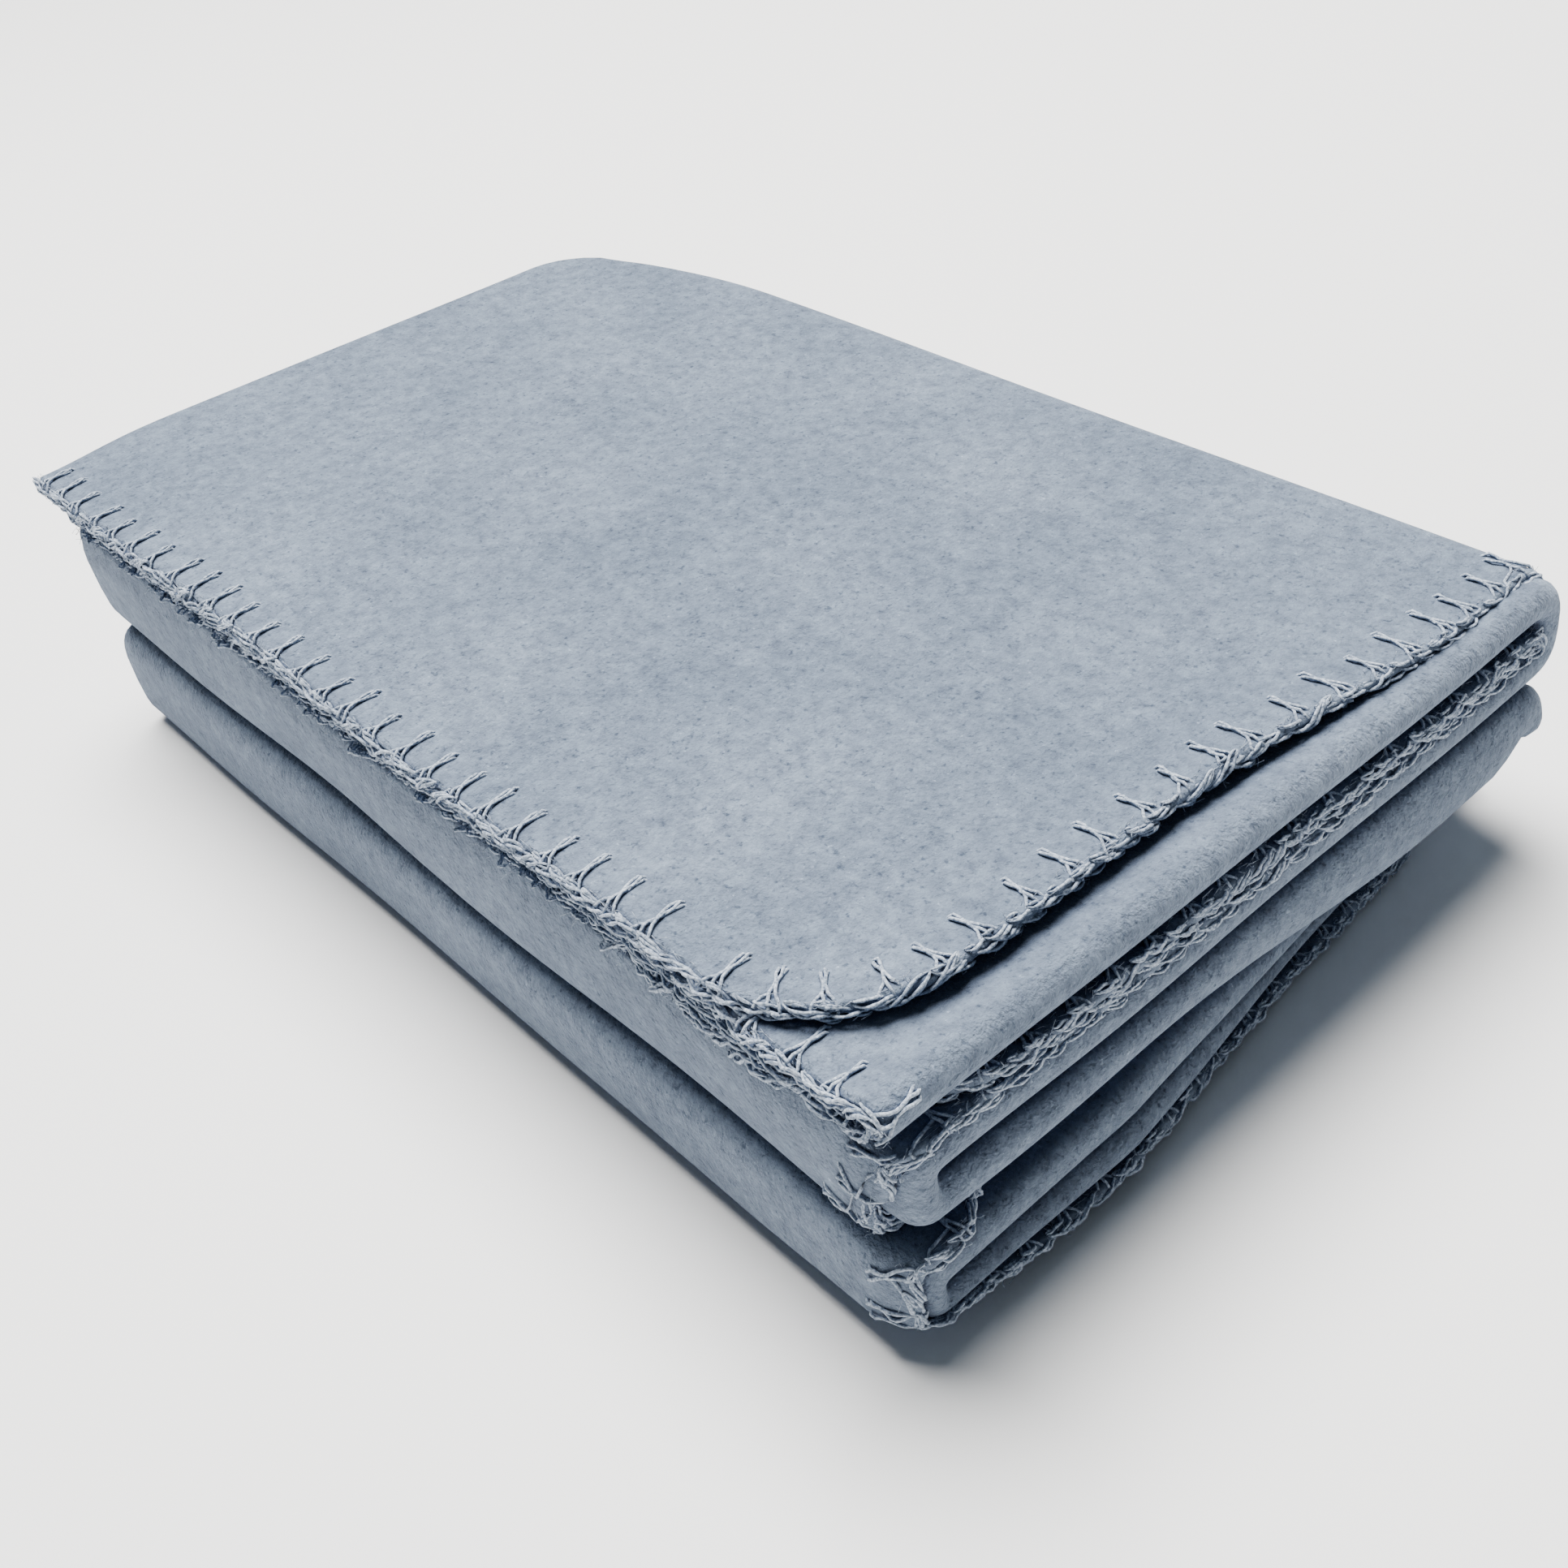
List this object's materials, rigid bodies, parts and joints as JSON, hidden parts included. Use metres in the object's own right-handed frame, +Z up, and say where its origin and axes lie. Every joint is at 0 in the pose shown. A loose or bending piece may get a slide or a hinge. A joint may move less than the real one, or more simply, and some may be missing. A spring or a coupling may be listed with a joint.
{
  "type": "folded throw blanket",
  "caption": "Folded fleece throw blanket: a flat rectangular pile of soft plies with smooth rolled sides, rounded corners and a thick blanket-stitched hem.",
  "frame": {"origin": "centre of the underside of the folded blanket, on the surface it lies on", "axes": "+Z up, X along the folded length with the stitched short end at +X, -Y towards the long side with the two smooth rolls"},
  "size_m": [0.4, 0.254, 0.0871],
  "materials": {
    "fleece": "brushed pile, matt",
    "hem_yarn": "fuzzy plied yarn, matt"
  },
  "bodies": {
    "strip_1": {"fleece_strip_1": "fleece", "hem_strip_1": "hem_yarn"},
    "strip_2": {"fleece_strip_2": "fleece", "first_hem_strip_2": "hem_yarn", "last_hem_strip_2": "hem_yarn"},
    "strip_3": {"fleece_strip_3": "fleece", "first_hem_strip_3": "hem_yarn", "last_hem_strip_3": "hem_yarn"},
    "strip_4": {"fleece_strip_4": "fleece", "first_hem_strip_4": "hem_yarn", "last_hem_strip_4": "hem_yarn"},
    "strip_5": {"fleece_strip_5": "fleece", "hem_strip_5": "hem_yarn"}
  },
  "joints": [
    {"name": "turn_4_5", "type": "hinge", "parent": "strip_5", "child": "strip_4", "pos_m": [0, -0.127, 0.0169], "axis": [1, 0, 0], "range_deg": [0, 180]},
    {"name": "turn_3_4", "type": "hinge", "parent": "strip_4", "child": "strip_3", "pos_m": [0, 0.127, 0.0344], "axis": [-1, 0, 0], "range_deg": [0, 180]},
    {"name": "turn_2_3", "type": "hinge", "parent": "strip_3", "child": "strip_2", "pos_m": [0, -0.127, 0.0519], "axis": [1, 0, 0], "range_deg": [0, 180]},
    {"name": "turn_1_2", "type": "hinge", "parent": "strip_2", "child": "strip_1", "pos_m": [0, 0.127, 0.0694], "axis": [-1, 0, 0], "range_deg": [0, 180]}
  ],
  "couplings": [
    {"joint": "turn_3_4", "follows": "turn_4_5", "ratio": 1}
  ]
}
